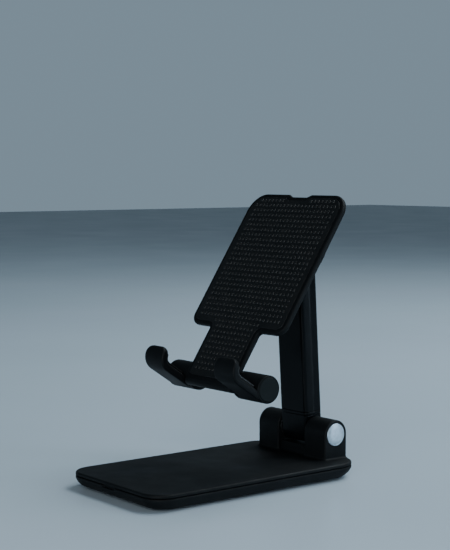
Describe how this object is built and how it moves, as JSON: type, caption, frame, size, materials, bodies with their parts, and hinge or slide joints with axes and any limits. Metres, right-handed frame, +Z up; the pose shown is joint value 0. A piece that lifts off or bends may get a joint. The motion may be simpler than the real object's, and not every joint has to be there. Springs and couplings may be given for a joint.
{
  "type": "phone stand",
  "caption": "Folding desk stand for a phone: weighted base, telescopic arm, tilting T-shaped panel with a dotted pad and two fold-in hooks.",
  "frame": {"origin": "centre of the base's footprint, on the surface it stands on", "axes": "+Z up, -Y to the front, where the hooks are, +X to the stand's right as its user sees it"},
  "size_m": [0.07, 0.119, 0.1318],
  "materials": {
    "black_plastic": "satin moulded",
    "silicone": "matt",
    "silver_cap": "satin",
    "steel": "plain",
    "nylon": "natural"
  },
  "bodies": {
    "base": {"base_foot_pad": "silicone", "base_hinge_bolt": "steel", "base_hinge_nut": "steel", "base_hinge_spring_washer": "steel", "base_hinge_washer_left": "steel", "base_hinge_washer_right": "steel", "base_lower_shell": "black_plastic", "base_screw_1": "steel", "base_screw_2": "steel", "base_screw_3": "steel", "base_screw_4": "steel", "base_top_cover": "black_plastic", "base_weight_plate": "steel", "hinge_cap_left": "silver_cap", "hinge_cap_right": "silver_cap"},
    "arm_post": {"arm_post": "black_plastic", "slide_friction_pad": "nylon"},
    "arm_sleeve": {"arm_sleeve": "black_plastic", "arm_collar": "black_plastic"},
    "panel": {"bracket_screw_1": "steel", "bracket_screw_2": "steel", "bracket_screw_3": "steel", "bracket_screw_4": "steel", "hook_pin_left": "steel", "hook_pin_right": "steel", "hook_spring_left": "steel", "hook_spring_right": "steel", "panel_back_cover": "black_plastic", "panel_front_frame": "black_plastic", "panel_pad": "silicone", "top_hinge_bolt": "steel", "top_hinge_nut": "steel", "top_hinge_washer_left": "steel", "top_hinge_washer_right": "steel"},
    "hook_left": {"hook_left": "black_plastic", "hook_pad_left": "silicone", "barrel_cap_left": "black_plastic"},
    "hook_right": {"hook_right": "black_plastic", "hook_pad_right": "silicone", "barrel_cap_right": "black_plastic"}
  },
  "joints": [
    {"name": "arm_fold", "type": "hinge", "parent": "base", "child": "arm_post", "pos_m": [0, 0.052, 0.01915], "axis": [1, 0, 0], "range_deg": [-20, 30]},
    {"name": "arm_extend", "type": "slide", "parent": "arm_post", "child": "arm_sleeve", "axis": [0, -0.0593, 0.9982], "range_m": [0, 0.03]},
    {"name": "panel_tilt", "type": "hinge", "parent": "arm_sleeve", "child": "panel", "pos_m": [0, 0.04684, 0.106], "axis": [1, 0, 0], "range_deg": [-55, 36]},
    {"name": "hook_left_fold", "type": "hinge", "parent": "panel", "child": "hook_left", "pos_m": [0, 0.00247, 0.04663], "axis": [1, 0, 0], "range_deg": [-90, 0]},
    {"name": "hook_right_fold", "type": "hinge", "parent": "panel", "child": "hook_right", "pos_m": [0, 0.00247, 0.04663], "axis": [1, 0, 0], "range_deg": [-90, 0]}
  ]
}
